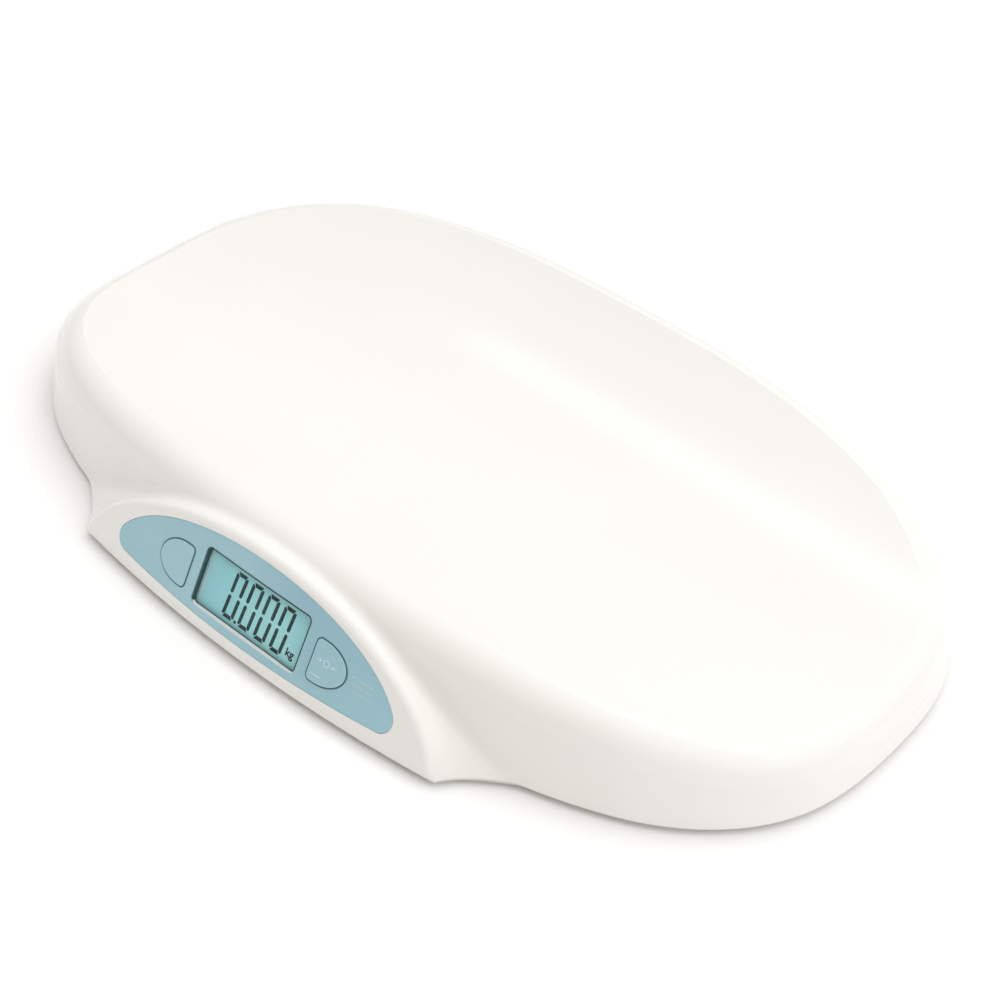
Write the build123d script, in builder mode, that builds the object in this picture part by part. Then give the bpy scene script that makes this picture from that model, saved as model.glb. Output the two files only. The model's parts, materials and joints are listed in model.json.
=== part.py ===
"""Digital baby weighing scale.

Millimetres. The origin is the middle of the footprint, on the floor. +X runs along the
tray, the console is on the -Y side and +Z is up.

A one-piece moulded top cover holds the weighing trough and the console hood. It closes on
a base cover that carries four load cells with their feet, and the battery compartment.
"""

import os
from math import cos, radians, sin, sqrt, tan

from build123d import *

os.makedirs("parts", exist_ok=True)

# ---------------------------------------------------------------- driving dimensions

# tray
tray_length = 550
tray_width = 308
rim_height = 62
trough_floor = 33
oval_power = 2.8
shoulder_reach = 18.5
shoulder_drop = 19
skirt_draft = 10
oval_stations = 21
core_overlap = 26
crest_lead = 0.25
inner_rise = 4
cover_wall = 2.5

# base
floor_gap = 3
base_thickness = 2
base_reveal = 1.2
lip_wall = 2
lip_rise = 4
lip_root = 1
fit_clearance = 0.3

# console
console_reach = 23
console_tilt = 61.75
sill_height = 5.7
front_radius = 900
hood_half_width = 123
hood_rise = 62.5
hood_depth = 45
hood_edge_radius = 4.5
valley_radius = 6
sill_radius = 4
hood_sections = ((-0.04, 0), (0.56, 22), (0.8, 44), (1, 62))
hood_foot = 15.5

# panel sheet set into the console face
panel_half_width = 102.5
panel_arch_rise = 45.5
panel_arch_foot = 4.5
panel_thickness = 1.0
panel_recess = 1.2
panel_bottom_radius = 968
panel_tip_radius = 8
panel_margin = 1.9
panel_gap = 0.25

# display
window_width = 73.2
window_height = 31.2
window_corner = 2.5
window_centre = 22.6
window_ledge = 1
lens_thickness = 1
lens_border = 2
glass_thickness = 2.2
glass_border = 2.5
glass_gap = 0.3
frame_wall = 2.2
frame_corner = 0.8
board_depth = 10.4

# keys
key_flat = 44.6
key_reach = 21.6
key_shoulder = 5
key_half_height = 11.3
key_centre = 21.4
key_corner = 2.6
key_proud = 0.5
key_gap = 0.35
key_flange = 1.4
key_flange_thickness = 0.8
key_travel = 0.6
key_edge_radius = 0.5
flange_gap = 0.2

# circuit board
board_width = 136
board_height = 38
board_thickness = 1.6
board_post_diameter = 5
board_post_x = 62
board_post_low = 6.6
board_post_high = 39.2
board_screw_hole = 2
board_screw_bite = 6
board_corner = 2
chip_size = 12
chip_thickness = 1.4
chip_chamfer = 0.3
switch_size = 6
switch_body_height = 3.5
plunger_diameter = 3.4
plunger_clearance = 0.1
strip_width = 3
strip_length = 60

# load cells and feet
cell_x = 175
cell_y = 80
cell_size = 34
cell_corner = 3
cell_thickness = 2.5
tongue_width = 20
tongue_slot = 1.6
cell_frame = 5
bracket_base = 4
bracket_wall = 3
bracket_ledge = 3.4
cell_clearance = 0.2
foot_diameter = 30
foot_hole_diameter = 34
foot_neck_diameter = 12
foot_running_gap = 0.5
foot_chamfer = 0.6
pad_diameter = 26
pad_thickness = 1.5
pad_chamfer = 0.4

# battery compartment
cell_length = 49.5
cell_diameter = 14.2
cell_pitch = 14.8
battery_count = 4
cell_edge_radius = 0.6
nub_length = 1
nub_diameter = 5.2
spring_length = 5.5
spring_diameter = 8
spring_taper = 15
contact_thickness = 0.5
contact_margin = 3
bay_wall = 1.6
bay_headroom = 0.4
door_clearance = 0.3
groove_count = 3
groove_length = 22
groove_step = 4
groove_width = 1.2
groove_pitch = 3
groove_depth = 0.4
groove_inset = 5
finger_notch_radius = 8
finger_notch_depth = 1.1
battery_lift = 0.2

# cover screws
screw_shank = 2.9
pilot_hole = 3.0
through_hole = 3.4
screw_head_diameter = 6
screw_head_height = 2.2
counterbore = 6.6
post_diameter = 9.5
boss_diameter = 8
post_top = 12
post_web = 3
screw_bite = 10
screw_tip_gap = 1
side_screw = (110, 105)
end_screw = (226, 45)

# stiffening ribs under the trough
rib_thickness = 1.8
rib_line = 26
rib_reach = 112
rib_cross_pitch = 60
rib_cross_count = 4
rib_long = 48

# unit slide switch
unit_x = 62
slot_length = 9
slot_width = 4
knob_length = 6
knob_width = 3.4
knob_stem_length = 4
knob_stem_width = 1.8
knob_stem_height = 1.8
knob_sink = 0.6
unit_travel = 2
unit_body_length = 16
unit_body_width = 8
unit_body_height = 5
slide_clearance = 0.1

# ---------------------------------------------------------------- worked out from them

base_z = floor_gap + base_thickness
tray_y = console_reach / 2
front_y = tray_y - tray_width / 2 - console_reach
draft_slope = tan(radians(skirt_draft))
side_skirt = rim_height - shoulder_drop - base_z
end_skirt = trough_floor - shoulder_drop - base_z
crest_half_length = tray_length / 2 - shoulder_reach - end_skirt * draft_slope
crest_half_width = tray_width / 2 - shoulder_reach - side_skirt * draft_slope
rim_rise = rim_height - trough_floor
trough_radius = (crest_half_width**2 + rim_rise**2) / (2 * rim_rise)

tilt = radians(console_tilt)
face_plane = Plane(
    origin=(0, front_y, base_z + sill_height),
    x_dir=(1, 0, 0),
    z_dir=(0, -sin(tilt), cos(tilt)),
)
face_axis = Axis(face_plane.origin, face_plane.z_dir)
slope_plane = Plane(face_plane.origin, x_dir=(1, 0, 0), z_dir=face_plane.y_dir)
face_radius = front_radius / sin(tilt)
sill_along_face = sill_height / sin(tilt)

bay_length = cell_length + nub_length + spring_length + 2 * contact_thickness
bay_width = battery_count * cell_pitch
bay_ceiling = base_z + battery_lift + cell_diameter + bay_headroom
cell_seat = base_z + bracket_base


# ---------------------------------------------------------------- the housing's shape


def oval_point(half_length, half_width, angle):
    """A point of the tray's oval, at an angle round its middle."""
    across = abs(cos(radians(angle)) / half_length) ** oval_power
    along = abs(sin(radians(angle)) / half_width) ** oval_power
    reach = (across + along) ** (-1 / oval_power)
    x = 0 if abs(angle) == 90 else reach * cos(radians(angle))
    return (x, tray_y + reach * sin(radians(angle)))


def oval_normal(half_length, half_width, angle):
    """The outward direction of the oval at the same angle."""
    x, y = oval_point(half_length, half_width, angle)
    side = 1 if y > tray_y else -1
    across = abs(x / half_length) ** (oval_power - 1) / half_length
    along = abs((y - tray_y) / half_width) ** (oval_power - 1) / half_width
    return (across, side * along, 0)


def trough_height(y, inset):
    """Height of the trough's cylinder at y, lowered by the inset."""
    radius = trough_radius + inset
    return trough_floor + trough_radius - sqrt(radius**2 - (y - tray_y) ** 2)


def face_sag(x):
    """How far the bowed console face lies behind its middle, at x."""
    return face_radius - sqrt(face_radius**2 - x**2)


def face_drum(inset):
    """A drum that lies up the slope. Its side is the bowed console face, moved in."""
    with BuildPart() as drum:
        with BuildSketch(slope_plane):
            with Locations((0, face_radius)):
                Circle(face_radius - inset)
        extrude(amount=2 * hood_rise, both=True)
    return drum.part


def tray_half(inset, bottom):
    """The +X half of the tray as a solid, with every face moved in by the inset."""
    half_length = crest_half_length - inset
    half_width = crest_half_width - inset
    depth = rim_height + core_overlap
    angles = [-90 + 180 * step / (oval_stations - 1) for step in range(oval_stations)]
    foot = (shoulder_reach + (depth - shoulder_drop) * draft_slope, -depth)
    with BuildPart() as half:
        # rounded shoulder and drafted skirt, lofted round the oval
        for angle in angles:
            x, y = oval_point(half_length, half_width, angle)
            outward = Vector(oval_normal(half_length, half_width, angle))
            crest = (x, y, trough_height(y, inset) + crest_lead)
            with BuildSketch(Plane(crest, x_dir=outward, z_dir=outward.cross(Vector(0, 0, 1)))):
                with BuildLine():
                    Line((-core_overlap, inner_rise), (0, 0))
                    EllipticalCenterArc(
                        (0, -shoulder_drop), shoulder_reach, shoulder_drop, arc_size=90
                    )
                    Line((shoulder_reach, -shoulder_drop), foot)
                    Line(foot, (-core_overlap, -depth))
                    Line((-core_overlap, -depth), (-core_overlap, inner_rise))
                make_face()
        loft()
        # the middle of the tray
        with BuildSketch(Plane.XY.offset(-core_overlap)):
            with BuildLine():
                inner_length = half_length - core_overlap / 2
                inner_width = half_width - core_overlap / 2
                edge = Spline(
                    [oval_point(inner_length, inner_width, angle) for angle in angles],
                    tangents=((1, 0, 0), (-1, 0, 0)),
                )
                Line(edge @ 1, edge @ 0)
            make_face()
        extrude(amount=depth + core_overlap)
        # the trough, a cylinder lying along the tray
        with BuildSketch(Plane.YZ):
            with Locations((tray_y, trough_floor + trough_radius)):
                Circle(trough_radius + inset)
        extrude(amount=tray_length, mode=Mode.SUBTRACT)
        split(bisect_by=Plane.XY.offset(bottom), keep=Keep.TOP)
    return half.part


def console_half(inset, bottom):
    """The +X half of the console: an arched hood that runs back along the normal of its
    sloping face and flares at the foot to meet the tray's skirt."""
    rise = hood_rise - inset
    foot = -sill_along_face - hood_foot
    with BuildPart() as half:
        for share, flare in hood_sections:
            half_width = hood_half_width + flare - inset
            with BuildSketch(face_plane.offset(-share * hood_depth - inset)):
                with BuildLine():
                    Line((0, foot), (0, rise - sill_along_face))
                    EllipticalCenterArc(
                        (0, -sill_along_face), half_width, rise, start_angle=90, arc_size=-90
                    )
                    Line((half_width, -sill_along_face), (half_width, foot))
                    Line((half_width, foot), (0, foot))
                make_face()
        loft()
        # the bowed front wall under the face
        with BuildSketch(Plane.XY.offset(bottom)):
            with Locations((0, front_y + front_radius)):
                Circle(front_radius - inset)
        extrude(amount=2 * rim_height, mode=Mode.INTERSECT)
        add(face_drum(inset), mode=Mode.INTERSECT)
    return half.part


def housing(inset, bottom, rounded=False):
    """The whole housing as a solid: tray and console, with every face moved in. Its outside
    is rounded in the valley behind the hood, along the sill and along the hood's edge."""
    tray = tray_half(inset, bottom)
    console = console_half(inset, bottom)

    def is_valley(edge):
        middle = edge @ 0.5
        return tray.distance_to(middle) < 0.01 and console.distance_to(middle) < 0.01

    with BuildPart() as shape:
        add(tray)
        add(console)
        if rounded:
            fillet(shape.edges().filter_by(is_valley), radius=valley_radius)
            front_wall = shape.faces().filter_by(GeomType.CYLINDER).sort_by(Axis.Y)[0]
            fillet(front_wall.edges().sort_by(Axis.Z)[-1], radius=sill_radius)
            # the corner edge runs on smoothly over the sill into the hood's arch
            front_wall = shape.faces().filter_by(GeomType.CYLINDER).sort_by(Axis.Y)[0]
            fillet(front_wall.edges().sort_by(Axis.X)[-1], radius=hood_edge_radius)
        mirror(about=Plane.YZ)
    return shape.part


def finish(piece, name):
    """Label a piece and write it to its own file."""
    piece.label = name
    export_step(piece, f"parts/{name}.step")


# ---------------------------------------------------------------- outlines used twice


def panel_outline(margin):
    """The panel's outline on the console face, an arch on a bowed foot."""
    with BuildSketch() as outline:
        with Locations((0, panel_arch_foot)):
            Ellipse(panel_half_width - margin, panel_arch_rise - margin)
        with Locations((0, panel_margin + margin + panel_bottom_radius)):
            Circle(panel_bottom_radius, mode=Mode.INTERSECT)
        fillet(outline.vertices(), radius=panel_tip_radius - margin)
    return outline.sketch


def key_outline(margin):
    """The outline of the right-hand key: flat towards the display, round outwards."""
    with BuildSketch() as outline:
        with Locations((key_flat + key_shoulder, key_centre)):
            Ellipse(key_reach - key_shoulder - margin, key_half_height - margin)
        with Locations((key_flat + margin, key_centre)):
            Rectangle(
                2 * key_reach, 4 * key_half_height, align=(Align.MIN, Align.CENTER), mode=Mode.INTERSECT
            )
            Rectangle(
                key_shoulder - margin, 2 * (key_half_height - margin), align=(Align.MIN, Align.CENTER)
            )
        fillet(outline.vertices().group_by(Axis.X)[0], radius=key_corner - margin)
    return outline.sketch


# depths behind the middle of the bowed face
lens_front = cover_wall + face_sag(window_width / 2 + lens_border)
panel_root = 2 * panel_recess + face_sag(panel_half_width)
flange_front = cover_wall + flange_gap
flange_back = flange_front + key_flange_thickness
key_root = flange_back + face_sag(key_flat + key_reach + key_flange)

# places of the screws
sides = (-1, 1)
tray_screws = [
    (side * x, tray_y + end * y) for x, y in (side_screw, end_screw) for side in sides for end in sides
]
board_posts = [(side * board_post_x, s) for side in sides for s in (board_post_low, board_post_high)]

# ---------------------------------------------------------------- top cover

stiffening = housing(cover_wall / 2, rib_line)
with BuildPart() as ribs:
    with BuildSketch(Plane.XY.offset(rib_line)):
        for step in range(-rib_cross_count, rib_cross_count + 1):
            with Locations((step * rib_cross_pitch, tray_y)):
                Rectangle(rib_thickness, 2 * rib_reach)
        for side in (-1, 1):
            with Locations((0, tray_y + side * rib_long)):
                Rectangle(tray_length, rib_thickness)
    extrude(amount=rim_height)
    add(stiffening, mode=Mode.INTERSECT)

boss_reach = housing(cover_wall / 2, post_top)
with BuildPart() as bosses:
    with BuildSketch(Plane.XY.offset(post_top)):
        with Locations(tray_screws):
            Circle(boss_diameter / 2)
    extrude(amount=rim_height)
    add(boss_reach, mode=Mode.INTERSECT)

with BuildPart() as console_posts:
    with BuildSketch(face_plane.offset(-board_depth)):
        with Locations(board_posts):
            Circle(board_post_diameter / 2)
    extrude(amount=board_depth)
    with BuildSketch(face_plane.offset(-lens_front)):
        with Locations((0, window_centre)):
            Rectangle(window_width + 2 * lens_border, window_height + 2 * lens_border)
    extrude(amount=lens_front)
    add(face_drum(cover_wall / 2), mode=Mode.INTERSECT)

with BuildPart() as panel_pocket:
    with BuildSketch(face_plane.offset(panel_recess)):
        add(panel_outline(0))
    extrude(amount=-panel_root)
    add(face_drum(panel_recess), mode=Mode.SUBTRACT)

with BuildPart() as top_cover:
    add(housing(0, base_z, rounded=True))
    add(housing(cover_wall, -floor_gap), mode=Mode.SUBTRACT)
    add(ribs.part)
    add(bosses.part)
    with BuildSketch(Plane.XY.offset(post_top)):
        with Locations(tray_screws):
            Circle(pilot_hole / 2)
    extrude(amount=screw_bite, mode=Mode.SUBTRACT)
    # posts behind the console face that carry the circuit board, and the lens seat
    add(console_posts.part)
    with BuildSketch(face_plane.offset(-board_depth)):
        with Locations(board_posts):
            Circle(board_screw_hole / 2)
    extrude(amount=board_screw_bite, mode=Mode.SUBTRACT)
    # pocket for the panel, window and key holes
    add(panel_pocket.part, mode=Mode.SUBTRACT)
    with BuildSketch(face_plane):
        with Locations((0, window_centre)):
            RectangleRounded(window_width, window_height, window_corner)
    extrude(amount=-lens_front, mode=Mode.SUBTRACT)
    with BuildSketch(face_plane):
        add(key_outline(-key_gap))
        mirror(about=Plane.YZ)
    extrude(amount=-key_root, mode=Mode.SUBTRACT)
finish(top_cover.part, "top_cover")

# ---------------------------------------------------------------- console panel

with BuildPart() as panel_sheet:
    with BuildSketch(face_plane):
        add(panel_outline(panel_gap))
        with Locations((0, window_centre)):
            RectangleRounded(
                window_width + 2 * window_ledge,
                window_height + 2 * window_ledge,
                window_corner + window_ledge,
                mode=Mode.SUBTRACT,
            )
        add(key_outline(-key_gap), mode=Mode.SUBTRACT)
        add(key_outline(-key_gap).mirror(Plane.YZ), mode=Mode.SUBTRACT)
    extrude(amount=-panel_root)
    add(face_drum(panel_recess - panel_thickness), mode=Mode.INTERSECT)
    add(face_drum(panel_recess), mode=Mode.SUBTRACT)
finish(panel_sheet.part, "panel_sheet")

# ---------------------------------------------------------------- display

with BuildPart() as display_lens:
    with BuildSketch(face_plane.offset(-lens_front)):
        with Locations((0, window_centre)):
            Rectangle(window_width + 2 * lens_border, window_height + 2 * lens_border)
    extrude(amount=-lens_thickness)
finish(display_lens.part, "display_lens")

lens_back = lens_front + lens_thickness
glass_width = window_width + 2 * glass_border
glass_height = window_height + 2 * glass_border
with BuildPart() as display_glass:
    with BuildSketch(face_plane.offset(-lens_back - glass_gap)):
        with Locations((0, window_centre)):
            Rectangle(glass_width, glass_height)
    extrude(amount=-glass_thickness)
finish(display_glass.part, "display_glass")

frame_bore_width = glass_width + 2 * glass_gap
frame_bore_height = glass_height + 2 * glass_gap
with BuildPart() as display_frame:
    with BuildSketch(face_plane.offset(-board_depth)):
        with Locations((0, window_centre)):
            Rectangle(frame_bore_width + 2 * frame_wall, frame_bore_height + 2 * frame_wall)
            Rectangle(frame_bore_width, frame_bore_height, mode=Mode.SUBTRACT)
    extrude(amount=board_depth - lens_back)
    fillet(display_frame.edges().filter_by(face_axis), radius=frame_corner)
finish(display_frame.part, "display_frame")

glass_back = lens_back + glass_gap + glass_thickness
with BuildPart() as contact_strip:
    with BuildSketch(face_plane.offset(-board_depth)):
        with Locations((0, window_centre - glass_height / 2 + strip_width)):
            Rectangle(strip_length, strip_width)
    extrude(amount=board_depth - glass_back)
finish(contact_strip.part, "contact_strip")

# ---------------------------------------------------------------- circuit board

with BuildPart() as main_board:
    with BuildSketch(face_plane.offset(-board_depth)):
        with Locations((0, window_centre)):
            RectangleRounded(board_width, board_height, board_corner)
        with Locations(board_posts):
            Circle(board_screw_hole / 2 + fit_clearance, mode=Mode.SUBTRACT)
    extrude(amount=-board_thickness)
finish(main_board.part, "main_board")

with BuildPart() as control_chip:
    with BuildSketch(face_plane.offset(-board_depth - board_thickness)):
        with Locations((0, window_centre)):
            Rectangle(chip_size, chip_size)
    extrude(amount=-chip_thickness)
    chamfer(control_chip.faces().sort_by(Axis.Y)[-1].edges(), length=chip_chamfer)
finish(control_chip.part, "control_chip")

# ---------------------------------------------------------------- keys and their switches

key_middle = key_flat + key_reach / 2
plunger_top = flange_back + face_sag(key_middle + plunger_diameter / 2) + key_travel + plunger_clearance


def make_key(name, side):
    """A key cap in its hole, with the flange that holds it behind the cover's wall."""
    with BuildPart() as flange:
        with BuildSketch(face_plane):
            add(key_outline(-key_flange))
        extrude(amount=-key_root)
        add(face_drum(flange_front), mode=Mode.INTERSECT)
    with BuildPart() as key:
        with BuildSketch(face_plane.offset(key_proud)):
            add(key_outline(0))
        extrude(amount=-key_proud - key_root)
        add(face_drum(-key_proud), mode=Mode.INTERSECT)
        cap = key.faces().sort_by(face_axis)[-1]
        fillet(cap.edges(), radius=key_edge_radius)
        add(flange.part)
        add(face_drum(flange_back), mode=Mode.SUBTRACT)
        if side < 0:
            mirror(about=Plane.YZ, mode=Mode.REPLACE)
    finish(key.part, name)


def make_switch(name, side):
    """A tact switch on the board, its plunger just behind the key."""
    with BuildPart() as switch:
        with BuildSketch(face_plane.offset(-board_depth)):
            with Locations((side * key_middle, key_centre)):
                Rectangle(switch_size, switch_size)
        extrude(amount=switch_body_height)
        with BuildSketch(face_plane.offset(-board_depth + switch_body_height)):
            with Locations((side * key_middle, key_centre)):
                Circle(plunger_diameter / 2)
        extrude(amount=board_depth - switch_body_height - plunger_top)
    finish(switch.part, name)


for name, side in (("power", -1), ("tare", 1)):
    make_key(f"{name}_key", side)
    make_switch(f"{name}_switch", side)

# ---------------------------------------------------------------- base cover

corners = {
    "front_left": (-cell_x, tray_y - cell_y),
    "front_right": (cell_x, tray_y - cell_y),
    "back_left": (-cell_x, tray_y + cell_y),
    "back_right": (cell_x, tray_y + cell_y),
}

with BuildPart() as lip:
    add(housing(cover_wall + fit_clearance, base_z))
    add(housing(cover_wall + fit_clearance + lip_wall, base_z - lip_root), mode=Mode.SUBTRACT)
    split(bisect_by=Plane.XY.offset(base_z + lip_rise), keep=Keep.BOTTOM)

with BuildPart() as base_cover:
    add(housing(base_reveal, floor_gap))
    split(bisect_by=Plane.XY.offset(base_z), keep=Keep.BOTTOM)
    add(lip.part)
    # screw posts
    with BuildSketch(Plane.XY.offset(floor_gap)):
        with Locations(tray_screws):
            Circle(post_diameter / 2)
    extrude(amount=post_top - floor_gap)
    with BuildSketch(Plane.XY.offset(floor_gap)):
        with Locations(tray_screws):
            Circle(counterbore / 2)
    extrude(amount=post_top - post_web - floor_gap, mode=Mode.SUBTRACT)
    with BuildSketch(Plane.XY.offset(floor_gap)):
        with Locations(tray_screws):
            Circle(through_hole / 2)
    extrude(amount=post_top - floor_gap, mode=Mode.SUBTRACT)
    # battery compartment, open below
    with BuildSketch(Plane.XY.offset(floor_gap)):
        with Locations((0, tray_y)):
            Rectangle(bay_length + 2 * bay_wall, bay_width + 2 * bay_wall)
    extrude(amount=bay_ceiling + bay_wall - floor_gap)
    with BuildSketch(Plane.XY.offset(floor_gap)):
        with Locations((0, tray_y)):
            Rectangle(bay_length, bay_width)
    extrude(amount=bay_ceiling - floor_gap, mode=Mode.SUBTRACT)
    with BuildSketch(Plane.XY.offset(floor_gap)):
        with Locations((0, tray_y - bay_width / 2)):
            Circle(finger_notch_radius)
    extrude(amount=finger_notch_depth, mode=Mode.SUBTRACT)
    # foot holes and the slot of the unit switch
    with BuildSketch(Plane.XY.offset(floor_gap)):
        with Locations(*corners.values()):
            Circle(foot_hole_diameter / 2)
        with Locations((unit_x, tray_y)):
            Rectangle(slot_length, slot_width)
    extrude(amount=base_thickness, mode=Mode.SUBTRACT)
finish(base_cover.part, "base_cover")

# ---------------------------------------------------------------- load cells and feet


def make_corner(place, x, y):
    """One load cell with its bracket, foot and rubber pad."""
    with BuildPart() as cell:
        with BuildSketch(Plane.XY.offset(cell_seat)):
            with Locations((x, y)):
                RectangleRounded(cell_size, cell_size, cell_corner)
                Rectangle(tongue_width + 2 * tongue_slot, cell_size - 2 * cell_frame, mode=Mode.SUBTRACT)
            with Locations((x, y - cell_size / 2 + cell_frame)):
                Rectangle(
                    tongue_width,
                    cell_size - 2 * cell_frame - tongue_slot,
                    align=(Align.CENTER, Align.MIN),
                )
        extrude(amount=cell_thickness)
    finish(cell.part, f"load_cell_{place}")

    pocket = cell_size + 2 * cell_clearance
    with BuildPart() as bracket:
        with BuildSketch(Plane.XY.offset(base_z)):
            with Locations((x, y)):
                RectangleRounded(pocket + 2 * bracket_wall, pocket + 2 * bracket_wall, cell_corner)
                Rectangle(pocket - 2 * bracket_ledge, pocket - 2 * bracket_ledge, mode=Mode.SUBTRACT)
        extrude(amount=bracket_base + cell_thickness)
        with BuildSketch(Plane.XY.offset(cell_seat)):
            with Locations((x, y)):
                RectangleRounded(pocket, pocket, cell_corner)
        extrude(amount=cell_thickness, mode=Mode.SUBTRACT)
    finish(bracket.part, f"cell_bracket_{place}")

    disc_top = base_z - foot_running_gap
    with BuildPart() as foot:
        with BuildSketch(Plane.XY.offset(pad_thickness)):
            with Locations((x, y)):
                Circle(foot_diameter / 2)
        extrude(amount=disc_top - pad_thickness)
        chamfer(foot.edges().sort_by(Axis.Z)[0], length=foot_chamfer)
        with BuildSketch(Plane.XY.offset(disc_top)):
            with Locations((x, y)):
                Circle(foot_neck_diameter / 2)
        extrude(amount=cell_seat - disc_top)
    finish(foot.part, f"foot_{place}")

    with BuildPart() as pad:
        with BuildSketch():
            with Locations((x, y)):
                Circle(pad_diameter / 2)
        extrude(amount=pad_thickness)
        chamfer(pad.edges().sort_by(Axis.Z)[0], length=pad_chamfer)
    finish(pad.part, f"foot_pad_{place}")


for place, (x, y) in corners.items():
    make_corner(place, x, y)

# ---------------------------------------------------------------- batteries

door_length = bay_length - 2 * door_clearance
door_width = bay_width - 2 * door_clearance
with BuildPart() as battery_door:
    with BuildSketch(Plane.XY.offset(floor_gap)):
        with Locations((0, tray_y)):
            Rectangle(door_length, door_width)
    extrude(amount=base_thickness)
    # grip grooves near the finger notch
    with BuildSketch(Plane.XY.offset(floor_gap)):
        for step in range(groove_count):
            with Locations((0, tray_y - door_width / 2 + groove_inset + groove_pitch * step)):
                SlotOverall(groove_length - groove_step * step, groove_width)
    extrude(amount=groove_depth, mode=Mode.SUBTRACT)
finish(battery_door.part, "battery_door")

cell_axis_z = base_z + battery_lift + cell_diameter / 2
bay_half = bay_length / 2 - contact_thickness


def battery_row(index):
    """The y of one cell, and which way its positive end points."""
    y = tray_y + (index - (battery_count - 1) / 2) * cell_pitch
    return y, 1 if index % 2 == 0 else -1


for index in range(battery_count):
    y, way = battery_row(index)
    tip = Plane(origin=(way * bay_half, y, cell_axis_z), x_dir=(0, 1, 0), z_dir=(-way, 0, 0))
    with BuildPart() as battery:
        with BuildSketch(tip):
            Circle(nub_diameter / 2)
        extrude(amount=nub_length)
        with BuildSketch(tip.offset(nub_length)):
            Circle(cell_diameter / 2)
        extrude(amount=cell_length)
        rims = battery.edges().filter_by(GeomType.CIRCLE)
        fillet(rims.filter_by(lambda edge: edge.radius > nub_diameter), radius=cell_edge_radius)
    finish(battery.part, f"battery_{index + 1}")


def make_contacts(name, side):
    """The sprung and flat battery contacts at one end of the compartment."""
    wall_x = side * bay_length / 2
    with BuildPart() as contacts:
        for index in range(battery_count):
            y, way = battery_row(index)
            seat = Plane(origin=(wall_x, y, cell_axis_z), x_dir=(0, 1, 0), z_dir=(-side, 0, 0))
            with BuildSketch(seat):
                Rectangle(cell_pitch - contact_margin, cell_diameter - contact_margin)
            extrude(amount=contact_thickness)
            if way != side:
                coil = seat.offset(contact_thickness)
                with BuildSketch(coil):
                    Circle(spring_diameter / 2)
                extrude(amount=spring_length, taper=spring_taper)
    finish(contacts.part, name)


make_contacts("contacts_left", -1)
make_contacts("contacts_right", 1)

# ---------------------------------------------------------------- unit slide switch

with BuildPart() as unit_switch:
    with BuildSketch(Plane.XY.offset(base_z)):
        with Locations((unit_x, tray_y)):
            Rectangle(unit_body_length, unit_body_width)
    extrude(amount=unit_body_height)
    with BuildSketch(Plane.XY.offset(base_z)):
        with Locations((unit_x, tray_y)):
            Rectangle(slot_length, knob_stem_width + 2 * slide_clearance)
    extrude(amount=knob_stem_height + slide_clearance, mode=Mode.SUBTRACT)
finish(unit_switch.part, "unit_switch")

knob_x = unit_x - unit_travel / 2
with BuildPart() as unit_knob:
    with BuildSketch(Plane.XY.offset(floor_gap + knob_sink)):
        with Locations((knob_x, tray_y)):
            Rectangle(knob_length, knob_width)
    extrude(amount=base_thickness - knob_sink - slide_clearance)
    with BuildSketch(Plane.XY.offset(base_z - slide_clearance)):
        with Locations((knob_x, tray_y)):
            Rectangle(knob_stem_length, knob_stem_width)
    extrude(amount=knob_stem_height)
finish(unit_knob.part, "unit_knob")

# ---------------------------------------------------------------- cover screws

for index, (x, y) in enumerate(tray_screws):
    head_seat = post_top - post_web
    with BuildPart() as screw:
        with BuildSketch(Plane.XY.offset(head_seat - screw_head_height)):
            with Locations((x, y)):
                Circle(screw_head_diameter / 2)
        extrude(amount=screw_head_height)
        with BuildSketch(Plane.XY.offset(head_seat)):
            with Locations((x, y)):
                Circle(screw_shank / 2)
        extrude(amount=post_web + screw_bite - screw_tip_gap)
    finish(screw.part, f"cover_screw_{index + 1}")
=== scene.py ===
"""Looks of the digital baby weighing scale: finishes, display, dark strips of painted shade, print,
fasteners and light.
"""

import json
from math import copysign, cos, pi, radians, sin, tan

import bmesh
import bpy
from mathutils import Matrix, Vector


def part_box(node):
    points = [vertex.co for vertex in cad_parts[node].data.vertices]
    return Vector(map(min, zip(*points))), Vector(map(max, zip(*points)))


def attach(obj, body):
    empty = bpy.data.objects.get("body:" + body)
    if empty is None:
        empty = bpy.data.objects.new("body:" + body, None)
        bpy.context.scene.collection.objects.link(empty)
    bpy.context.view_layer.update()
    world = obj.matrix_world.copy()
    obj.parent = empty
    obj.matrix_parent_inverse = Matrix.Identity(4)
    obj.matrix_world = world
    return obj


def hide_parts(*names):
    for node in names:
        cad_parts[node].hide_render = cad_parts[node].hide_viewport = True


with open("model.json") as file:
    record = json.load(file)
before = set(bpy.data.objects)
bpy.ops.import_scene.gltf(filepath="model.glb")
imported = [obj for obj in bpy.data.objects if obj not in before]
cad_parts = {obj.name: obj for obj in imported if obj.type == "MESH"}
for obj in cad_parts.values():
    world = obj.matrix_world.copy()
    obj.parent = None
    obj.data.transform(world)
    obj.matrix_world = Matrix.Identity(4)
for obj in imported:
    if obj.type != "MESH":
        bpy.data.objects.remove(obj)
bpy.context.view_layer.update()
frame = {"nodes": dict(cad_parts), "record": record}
MM = 0.001

# ------------------------------------------------------------------ places taken from the frame

tray_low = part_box("top_cover")[0]
back_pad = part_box("foot_pad_back_right")
front_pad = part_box("foot_pad_front_right")

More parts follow.
